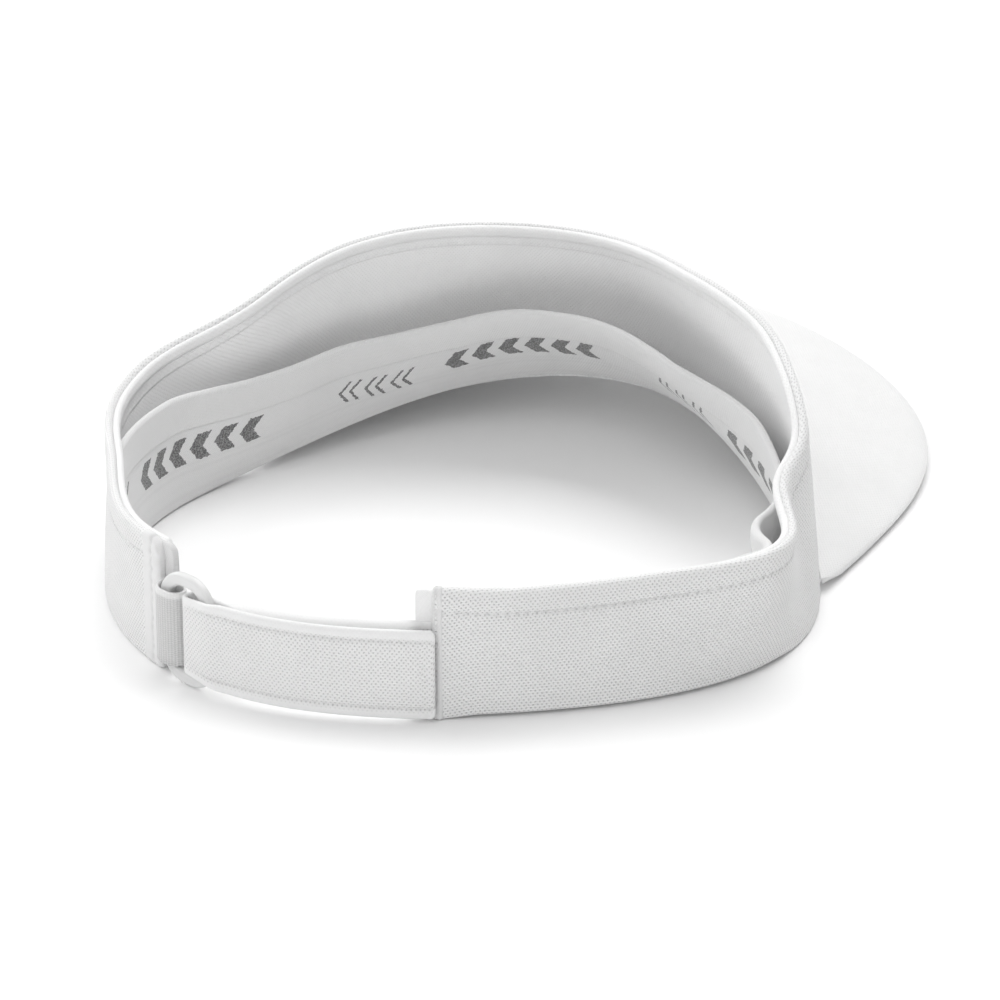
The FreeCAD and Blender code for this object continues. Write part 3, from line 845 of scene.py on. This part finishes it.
def sweatband_grid():
    start, end = RIGHT_END - degrees_of(5.5), LEFT_END + SWEATBAND_OVERHANG - 0.4
    edge, sewn, run = sweat_edge_line(start, end)
    length = run[-1]
    places = stations(length, 1.0, 3.0)
    grid = []
    for place in places:
        top_point = read(place, run, edge)
        angle = float(np.interp(place, run, sewn))
        corner = 1.1 if place < length / 2 else 3.0
        draw = inset(place, length, corner)
        back = 1 - smooth((from_back(angle) - 24) / 10)
        shares = SWEAT_ROWS * (1 - draw / 16) + draw / 32
        inwards = along(SWEAT_EDGE, angle)
        rise = math.sqrt(SWEATBAND_HEIGHT ** 2 - min(max(inwards, 0.0), 20.0) ** 2) / SWEATBAND_HEIGHT
        sway = -2.0 * hump(angle, 222, 11) + 0.8 * hump(angle, 198, 14) + 0.5 * hump(angle, 160, 12)
        height = bottom_height(angle) + SWEATBAND_LIFT + 0.5
        top = (SWEATBAND_HEIGHT - 2.0) * rise + 0.5 - 0.8 * (1 - back) + SWEAT_LIFT_BACK * back + sway
        foot = at(angle, band_radius(angle) - SWEATBAND_DEPTH + 0.35 * (1 - back) + 0.9 * back, 0.0)[:2]
        turn = math.radians(angle)
        swell = 0.35 * np.sin(shares * 2.5 + turn * 9) * shares * smooth((from_back(angle) - 95) / 15)
        reach = 1 - (1 - shares) ** 1.45
        outwards = at(angle, 1.0, 0.0)[:2]
        plan = foot + (top_point + outwards * 0.9 * back - foot) * reach[:, None] - outwards * swell[:, None]
        grid.append(np.column_stack([plan, height + top * shares]))
    return np.array(grid), places, length


def make_sweatband():
    """The padded band: a ribbed face with its woven bars, below a zigzag seam and a crowned top strip."""
    grid, places, length = sweatband_grid()
    above = SWEAT_ROWS - SWEAT_STRIP
    strip = np.clip((above + 0.004) / 0.011, 0, 1)
    crown = 0.14 * np.sin(np.clip(above / (1 - SWEAT_STRIP), 0, 1) * math.pi)
    ribs = hump(SWEAT_ROWS[:, None], SWEAT_RIBS, 0.012).sum(1)
    seam = hump(above, -0.003, 0.010)
    zigzag = 0.5 + 0.5 * np.sin(places[:, None] * 2 * math.pi / ZIGZAG_PITCH)
    grid[:, :, 2] += 0.22 * (zigzag - 0.5) * seam
    inner = 0.78 + 0.42 * strip + crown - 0.05 * ribs + 0.16 * zigzag * hump(above, 0.012, 0.014)
    full = 1 - 0.75 * inset(places, length, 1.0)[:, None]
    full = full * (1 + LOOP_FULLNESS * hump(places, LOOP_PLACE, LOOP_WIDTH)[:, None])
    loops = slab_loops(grid, 0.85 * full, inner * full)
    # Painted shade along the zigzag seam and in the grooves between the ribs.
    shades = seam * (0.20 + 0.22 * zigzag) + 0.09 * ribs
    across = run_of(loops[len(loops) // 3])
    face_row = [loops.shape[1] - 5 - k for k in range(len(SWEAT_ROWS))]
    low, high = (across[face_row[int(np.argmin(abs(SWEAT_ROWS - share)))]] for share in BAR_SHARES)
    bars = ((low + high) / 2, abs(low - high) / 2, 0.10)
    return loft(
        "sweatband", loops, "band", fine_cloth("sweatband_cloth", 0.80, pitch=0.62, depth=0.06, bars=bars),
        slot="sweatband_cloth", replaces=("sweatband_back", "sweatband_core", "sweatband_face"),
        # The first 8 mm at the wearer's right end is painted lighter, a painted highlight.
        uv_row=face_row[6], marks=round_loop(shades, 0.9 * fade(places, 8.0, 2.0)[:, None]),
    )


sweatband = make_sweatband()


def left_end_fold():
    """The sweatband's cloth turned back on itself at the wearer's left end."""
    start, end = LEFT_END - degrees_of(3.0), LEFT_END + degrees_of(3.4)
    places, angles, draws, length = wall_places(start, end, 0.5, FOLD_CORNER)
    kept = places > FOLD_CORNER
    grid = []
    for angle, draw in zip(angles[kept], draws[kept]):
        heights = np.linspace(2.4 + draw, 32.4 - draw, 26)
        grid.append(wall_points(angle, heights, 3.0 + 0.12 * np.sin(heights * 0.8)))
    half = 0.62 * (1 - 0.6 * inset(length - places[kept], 1e3, 0.9) / 0.9)[:, None]
    loft("left_end_fold", slab_loops(grid, half, half), "band", TAPE_CLOTH, slot="binding_tape")


left_end_fold()


# ---- bill ----

BILL_SIDES = np.sin(np.linspace(-1, 1, 241) * math.pi / 2) * 0.997
BILL_FORWARD = np.concatenate([np.linspace(0, 0.9, 40), np.linspace(0.915, 1.0, 14)])


def bill_loops():
    """Loops round the bill: over the top from the band to the front edge, round it and back beneath."""
    spines = np.array([bill_points(side, BILL_FORWARD, BILL_THICKNESS / 2) for side in BILL_SIDES])
    to_front = np.linalg.norm(spines - spines[:, -1:], axis=2)[..., None]
    to_band = np.linalg.norm(spines - spines[:, :1], axis=2)[..., None]
    halves = BILL_THICKNESS / 2 - 0.72 * np.exp(-to_front / 2.6) - 0.3 * np.exp(-to_band / 1.5)
    forward = unit(np.gradient(spines, axis=1))
    normal = unit(np.cross(forward, np.gradient(spines, axis=0)))
    up = normal * np.where(normal[..., 2:] < 0, -1, 1) * halves
    nose = forward[:, -1] * 0.9 * halves[:, -1]
    turns = (np.arange(5) + 0.5) / 5 * math.pi / 2
    rows = range(len(BILL_FORWARD))
    loop = [spines[:, 0] + up[:, 0] * math.sin(t) for t in turns]
    loop += [spines[:, j] + up[:, j] for j in rows]
    loop += [spines[:, -1] + up[:, -1] * math.sin(t) + nose * math.cos(t) for t in turns[::-1]]
    loop += [spines[:, -1] - up[:, -1] * math.sin(t) + nose * math.cos(t) for t in turns]
    loop += [spines[:, j] - up[:, j] for j in reversed(rows)]
    loop += [spines[:, 0] - up[:, 0] * math.sin(t) for t in turns[::-1]]
    return np.stack(loop, axis=1)


loops = bill_loops()
faces, (along_it, round_it) = skin(*loops.shape[:2])
bill = make_piece(
    "bill_cover", loops.reshape(-1, 3), faces, "band", BILL_KNIT, slot="white_knit",
    replaces=("bill_top_cover", "bill_under_cover", "bill_edge_roll"),
    uv=loops[along_it, round_it % loops.shape[1], :2],
)

for number, inward in enumerate((13.0, 24.0, 35.0, 46.0)):
    line = []
    for side in np.linspace(-0.97, 0.97, 220):
        spine = bill_points(side, np.linspace(0, 1, 60), 0.0)
        run = np.linalg.norm(spine - spine[-1], axis=1)
        if run[0] > inward * 1.15 + 6:
            share = np.interp(-inward * (0.62 + 0.38 * min(run[0] / 75, 1)), -run, np.linspace(0, 1, 60))
            line.append(bill_points(side, share, 0.0))
    stitch_row(
        f"bill_stitches_{number + 1}", line, [(0, 0, 1)] * len(line), "band", THREAD,
        length=2.3, gap=0.6, radius=0.16, sink=0.82, slot="white_knit",
    )


# ---- ring ----

RING_TURN = math.radians(RING_ANGLE)
RING_CENTRE = at(RING_ANGLE, band_radius(RING_ANGLE) + RING_OUT, 0.0)


def ring_to_frame(points):
    """From the ring's own frame (+X to the wearer's left, +Y out from the head) to the frame."""
    x, y, z = np.moveaxis(np.asarray(points, float), -1, 0)
    cosine, sine = math.cos(RING_TURN), math.sin(RING_TURN)
    return np.stack([x * cosine - y * sine, x * sine + y * cosine, z], axis=-1) + RING_CENTRE


def to_ring(point):
    """A place in the frame, in plan, in the ring's own frame."""
    x, y = (point - RING_CENTRE)[:2]
    cosine, sine = math.cos(RING_TURN), math.sin(RING_TURN)
    return (x * cosine + y * sine, y * cosine - x * sine)


def rounded_outline(width, height, radius):
    """Points round a rectangle with round corners, centred on its middle."""
    x, z = width / 2 - radius, height / 2 - radius
    corners = ((x, z, 0), (-x, z, 90), (-x, -z, 180), (x, -z, 270))
    turns = [arc(*middle, radius, start, start + 90, 15) for *middle, start in corners]
    points = []
    for turn, following in zip(turns, turns[1:] + turns[:1]):
        points += turn + list(np.linspace(turn[-1], following[0], 7))[1:-1]
    return np.array(points)


def ring_loops():
    """Loops round the ring's section, which has rounded edges, at each point of its outline."""
    outside = rounded_outline(RING_WIDTH, RING_HEIGHT, RING_CORNER)
    inside = rounded_outline(RING_WIDTH - 2 * RING_BAR, RING_HEIGHT - 2 * RING_CROSS_BAR, RING_HOLE_CORNER)
    edge, half = 0.95, RING_THICKNESS / 2
    section = []
    for start, across_sign, depth_sign in ((0, 1, 1), (90, -1, 1), (180, -1, -1), (270, 1, -1)):
        for turn in np.radians(np.linspace(start, start + 90, 6)):
            depth = depth_sign * (half - edge) + edge * math.sin(turn)
            section.append((across_sign, edge * math.cos(turn), depth))
    loops = []
    for out_point, in_point in zip(outside, inside):
        width = np.linalg.norm(out_point - in_point)
        direction = (out_point - in_point) / width
        centre = (out_point + in_point) / 2 + (0, RING_BOTTOM + RING_HEIGHT / 2)
        reaches = [sign * (width / 2 - edge) + shift for sign, shift, depth in section]
        places = centre + direction * np.array(reaches)[:, None]
        loops.append([(x, depth, z) for (x, z), (sign, shift, depth) in zip(places, section)])
    return ring_to_frame(np.array(loops))


loft("ring_moulded", ring_loops(), "ring", PLASTIC, slot="ring_plastic", replaces=("ring_buckle",), closed=True)


# ---- strips in plan: strap, tab and patches ----

def plan_strip(
    name, line, low, high, outer, inner, body, material, rows=None, corner=(0.0, 0.0), thin=0.5, marks_at=None,
    **more,
):
    """An upright strip along a line in plan. Low and high give its edges, outer and inner its two halves."""
    line, places = resample(line, 0.6)
    length = places[-1]
    turns = 1 - np.cos(np.linspace(0, math.pi / 2, 7)[:-1])
    keep = places[(places >= corner[0]) & (places <= length - corner[1])]
    start = corner[0] * turns + 0.03 if corner[0] else []
    end = length - corner[1] * turns - 0.03 if corner[1] else []
    full = np.unique(np.concatenate([keep, start, end]))
    line = read(full, places, line)
    shares = np.linspace(0, 1, 25) if rows is None else np.asarray(rows, float)
    rounded = [(size, gap) for size, gap in ((corner[0], full), (corner[1], length - full)) if size]
    draws = 0 * full + sum(inset(gap, 1e4, size) for size, gap in rounded)
    slims = 1 - (1 - thin) * (0 * full + sum(inset(gap, 1e4, 1.0) for size, gap in rounded))
    grid, outers, inners, marks = [], [], [], []
    for place, point, draw, slim in zip(full, line, draws, slims):
        bottom, top = low(place) + draw, high(place) - draw
        above, height = (top - bottom) * shares, top - bottom
        grid.append([(*point, bottom + z) for z in above])
        outers.append(outer(place, above, height) * slim)
        inners.append(inner(place, above, height) * slim)
        # Each row's painted shade and plainness with painted highlight, none unless given.
        marks.append(marks_at(place, above, height) if marks_at else (0 * shares, 0 * shares))
    loops = slab_loops(np.array(grid), np.array(outers), np.array(inners))
    marks = round_loop(*np.moveaxis(np.array(marks), 1, 0))
    return loft(name, loops, body, material, marks=marks, **more), line, full, length


def strap_line(start, end, depth, count=60):
    """A line in plan along the strap, between two angles, at a depth."""
    line = []
    for angle in np.linspace(start, end, count):
        rise = STRAP_RISE * (1 - smooth((angle - STRAP_START_ANGLE) / STRAP_RISE_ANGLE))
        line.append(at(angle, band_radius(angle) + rise - depth, 0.0)[:2])
    return line


def in_plan(points):
    return [tuple(ring_to_frame((x, y, 0.0))[:2]) for x, y in points]


STRAP_ROWS = np.concatenate([
    np.linspace(0, 0.06, 5), [0.073, 0.085, 0.095, 0.105, 0.118, 0.135], np.linspace(0.16, 0.84, 16),
    [0.865, 0.882, 0.895, 0.905, 0.915, 0.927], np.linspace(0.94, 1, 5),
])
EDGE_SEAM = 3.0
EDGE_CAP = 1.0
STRAP_STITCH = 2.4


def from_edge(above, height):
    return np.minimum(above, height - above)


def puffy(half, groove, pillow):
    """The half thickness of a strap that is stitched near both edges and puffs between and beyond the rows."""
    def at_place(place, above, height):
        near = from_edge(above, height)
        seam = EDGE_SEAM - EDGE_CAP
        value = half + pillow * (1 - hump(np.clip(near - seam, 0, None), 0, 2.4))
        value = value + 0.4 * groove * hump(near, 0.7, 0.6)
        dimple = 1 + 0.35 * wave(place, STRAP_STITCH)
        return value - groove * hump(near, seam, 0.5) * dimple
    return at_place


def edge_fill(amount, start, end):
    """Extra thickness within the edge rolls, between two places along the strap."""
    def at_place(place, above, height):
        along_it = smooth((place - start) / 5) * (1 - smooth((place - end) / 4))
        return amount * along_it * fade(from_edge(above, height), 1.1, 0.8)
    return at_place


def strap_marks(start, strength):
    # Painted shade in the stitched grooves near both long edges, darkest at the needle holes, and a painted
    # highlight on the rolled edges, whose knit hollows are left unpainted.
    def at_place(place, above, height):
        near = from_edge(above, height)
        hole = 0.5 + 0.5 * wave(place, STRAP_STITCH)
        seam = hump(near, EDGE_SEAM - EDGE_CAP, 0.35) * smooth((place - start) / 8)
        return strength * seam * (0.35 + 0.65 * hole), 0.9 * fade(near, 0.7, 0.9)
    return at_place


BLEND_TO_TAIL = 8.0
flap_start = at(STRAP_START_ANGLE, band_radius(STRAP_START_ANGLE), 0.0)
flap_on = at(STRAP_START_ANGLE + degrees_of(BLEND_TO_TAIL), band_radius(0.0), 0.0)
base_to_band = Vector(at(20.0, band_radius(20.0), 0.0)) * MM

turn_line = [(-10.6, -2.3), (-6.0, -2.3)] + arc(-2.0, 0.0, 2.3, -90, 90, 16) + [(-6.0, 2.3), (-10.0, 2.35)]
turn_line = in_plan(turn_line) + strap_line(STRAP_START_ANGLE + 1.5, FLAP_END_ANGLE, -1.95)
flap_full = resample(turn_line, 0.6)[1][-1]
FLAP_DROOP = 2.1


def droop(place):
    """How far the flap has sunk towards its free end."""
    return FLAP_DROOP * min(max((place - 18) / (flap_full - 18), 0), 1)


def strap_low(place):
    return 5.4 - 0.85 * smooth((place - 12) / 14) - droop(place)


def strap_high(place):
    return 25.7 + 0.85 * smooth((place - 12) / 14) - 0.75 * droop(place)


def flap_outer(place, above, height):
    grow = smooth((place - 14) / 12)
    end_seam = 0.22 * hump(place, flap_full - 2.6, 0.5)
    sag = 0.10 * math.sin(place * 0.42) * grow
    return puffy(0.62 + 0.16 * grow, 0.34 * grow, 0.18 * grow + sag)(place, above, height) - end_seam


flap_fill = edge_fill(0.72, 22.0, 400.0)


strap, strap_plan, strap_places, strap_full = plan_strip(
    "strap_turn_and_flap", turn_line, strap_low, strap_high, flap_outer,
    lambda p, a, h: 0.6 + flap_fill(p, a, h), None, STRAP_KNIT, rows=STRAP_ROWS, corner=(0.0, 1.5), thin=0.6,
    marks_at=strap_marks(14.0, 0.26),
    slot="white_knit", replaces=("strap_fold", "strap_flap"),
)

base_line = in_plan([(-9.6, -2.3), (-11.5, -2.35)]) + strap_line(STRAP_START_ANGLE + 4, STRAP_SEWN_ANGLE, 1.55)
base_length = resample(base_line, 0.6)[1][-1]
base_thick = puffy(0.55, 0.12, 0.05)
base_edges = edge_fill(1.4, 2.0, base_length - 14)


def base_low(place):
    return 5.3 - 0.6 * smooth(place / 12)


def base_high(place):
    return 25.8 + 0.55 * smooth(place / 12)


base, base_plan, base_places, base_full = plan_strip(
    "strap_base_cloth", base_line, base_low, base_high,
    lambda p, a, h: base_thick(p, a, h) + base_edges(p, a, h), puffy(0.55, 0.2, 0.1),
    None, STRAP_KNIT, rows=STRAP_ROWS, marks_at=strap_marks(0.0, 0.2),
    slot="white_knit", replaces=("strap_base",),
)


def edge_stitches(name, line, places, lows, highs, offset, start, end, side):
    """Two rows of stitches along a strip's long edges."""
    keep = (places >= start) & (places <= end)
    tangent = unit(np.gradient(line[keep], axis=0))
    normals = side * np.column_stack([tangent[:, 1], -tangent[:, 0], 0 * places[keep]])
    made = []
    for label, edge, sign in (("low", lows, 1), ("high", highs, -1)):
        heights = [edge(place) + sign * (EDGE_SEAM - EDGE_CAP) for place in places[keep]]
        made.append(stitch_row(
            f"{name}_{label}", np.column_stack([line[keep], heights]) + normals * offset, normals, None, THREAD,
            length=1.8, gap=0.6, radius=0.14, slot="white_knit",
        ))
    return made


flap_stitches = edge_stitches(
    "flap_stitches", strap_plan, strap_places, strap_low, strap_high, 0.55, 16.0, strap_full - 3.5, -1
)
base_stitches = edge_stitches(
    "base_stitches", base_plan, base_places, base_low, base_high, 0.38, 4.0, base_full - 8, 1,
)


def patch(name, depth, material, slot, node, body):
    def half(place, above, height):
        return 0.4 + 0 * above

    return plan_strip(
        name, strap_line(2.2, 21.3, depth), lambda p: 7.0, lambda p: 24.0, half, half, body, material,
        corner=(1.2, 1.2), slot=slot, replaces=(node,),
    )[0]


patch("hook_tape_patch", -0.8, HOOKS, "hook_tape", "hook_patch", "strap_tail")
loops_patch = patch("loop_tape_patch", 0.37, LOOPS, "loop_tape", "loop_patch", None)

for piece in [strap] + flap_stitches:
    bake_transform(piece)
for piece in [base, loops_patch] + base_stitches:
    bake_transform(piece)

mouth = LEFT_END + degrees_of(0.9)
sewn = LEFT_END - degrees_of(5.0)
tab_line = [to_ring(at(a, band_radius(a) - 1.35, 0.0)) for a in (sewn, mouth)]
tab_line += [(11.0, 0.6), (9.4, 2.2), (8.0, 2.65)] + arc(4.85, 0.0, 2.65, 90, 270, 16)
tab_line += [(8.0, -2.65), (10.2, -2.9)]
tab_line += [to_ring(at(a, band_radius(a) - depth, 0.0)) for a, depth in ((mouth, 2.15), (sewn, 2.0))]
CORD_PITCH = 0.95


def tab_half(place, above, height):
    cord = 0.045 * wave(place, CORD_PITCH)
    return 0.5 + cord - 0.12 * hump(above, height, 0.8)


# Painted shade along the tab's serrated bottom edge; its top edge is the selvage, an even lighter grey with no
# painted rib shade.
def tab_marks(place, above, height):
    return 0.22 * fade(above, 0.3, 0.8), 0.75 * (1 - fade(above, height - 1.3, 0.5))


plan_strip(
    "tab_elastic", in_plan(tab_line), lambda p: 5.6 + 0.28 * wave(p, CORD_PITCH), lambda p: 25.45, tab_half,
    lambda p, a, h: 0.42 + 0 * a, "band", ELASTIC, slot="grey_elastic", replaces=("elastic_tab",),
    marks_at=tab_marks,
)


# ---- stitching on the band ----

def wall_row(name, low_angle, high_angle, height_of, depth, out=1.0, **more):
    """Stitches along the band, each between two of the needle holes in the cloth. Out is -1 for the inside."""
    angles = np.arange(low_angle, high_angle, 0.3)
    line = np.array([wall_points(a, np.array(height_of(a)), depth) for a in angles])
    holes = run_at(1.0) * angles / STITCH_PITCH
    middles = np.arange(math.ceil(holes[0]) + 0.5, math.floor(holes[-1]))
    stitch_row(
        name, line, [at(a, out, 0.0) for a in angles], "band", THREAD, length=2.0, slot="white_knit",
        centres=np.interp(middles, holes, run_of(line)), **more
    )


wall_row(
    "rim_topstitch", RIGHT_END + degrees_of(5), LEFT_END - degrees_of(9),
    lambda a: rim_height(a) - TOPSTITCH_DROP, 0.36, radius=0.19,
)
wall_row(
    "lining_stitch", RIGHT_END + 2, LEFT_END - 2,
    lambda a: rim_height(a) - LINING_DROP - HEM_FALL + 0.55, 3.1, out=-1.0, radius=0.17,
)
for side, end, inwards in (("left", LEFT_END, -3.5), ("right", RIGHT_END, 1.0)):
    angle = end + degrees_of(inwards)
    heights = np.linspace(2.0, rim_height(angle) - 2.4, 30)
    stitch_row(
        f"{side}_binding_stitch", wall_points(angle, heights, -0.28), [at(angle, 1.0, 0.0)] * len(heights),
        "band", THREAD, length=2.0, gap=0.7, radius=0.16, slot="binding_tape",
    )


# ---- stage, light and camera ----

bpy.ops.mesh.primitive_plane_add(size=8.0, location=(0, 0, 0))
floor = bpy.context.object
floor.name = "floor"
paper = Nodes("floor_paper", 0.9)
paper.colour(paper.mix(paper.noise(30, 2), grey(0.975), grey(0.985)))
floor.data.materials.append(paper.material)

world = bpy.data.worlds.new("studio")
world.use_nodes = True
background = world.node_tree.nodes["Background"].inputs
background["Color"].default_value = (1.0, 1.0, 1.0, 1.0)
background["Strength"].default_value = 0.42
bpy.context.scene.world = world


def softbox(name, place, watts):
    """A square light that faces the middle of the table."""
    light = bpy.data.lights.new(name, "AREA")
    light.shape = "SQUARE"
    light.size = 1.2
    light.energy = watts
    box = bpy.data.objects.new(name, light)
    box.location = place
    box.rotation_euler = (-Vector(place)).to_track_quat("-Z", "Y").to_euler()
    bpy.context.scene.collection.objects.link(box)


softbox("overhead", (0.0, -0.7, 1.4), 15.7)
softbox("left_side", (1.5, 0.0, 0.9), 10.9)
softbox("behind_camera", (-0.3, 1.5, 1.3), 11.3)

AZIMUTH, ELEVATION, DISTANCE = 208.45, 23.96, 1.3392
turn, lift = math.radians(AZIMUTH), math.radians(ELEVATION)
back = Vector((math.sin(turn) * math.cos(lift), -math.cos(turn) * math.cos(lift), math.sin(lift)))
right = Vector((math.cos(turn), math.sin(turn), 0.0))
above = back.cross(right)
target = Vector((0, 0, 0.030)) + right * 0.00986 - above * 0.00815
camera_data = bpy.data.cameras.new("camera")
camera_data.sensor_width = 36.0
camera_data.lens = 181.3
camera_data.clip_start = 0.05
camera_data.clip_end = 30.0
camera = bpy.data.objects.new("camera", camera_data)
camera.location = target + back * DISTANCE
camera.rotation_euler = (-back).to_track_quat("-Z", "Y").to_euler()
bpy.context.scene.collection.objects.link(camera)
bpy.context.scene.camera = camera
bpy.context.scene.view_settings.view_transform = "Standard"
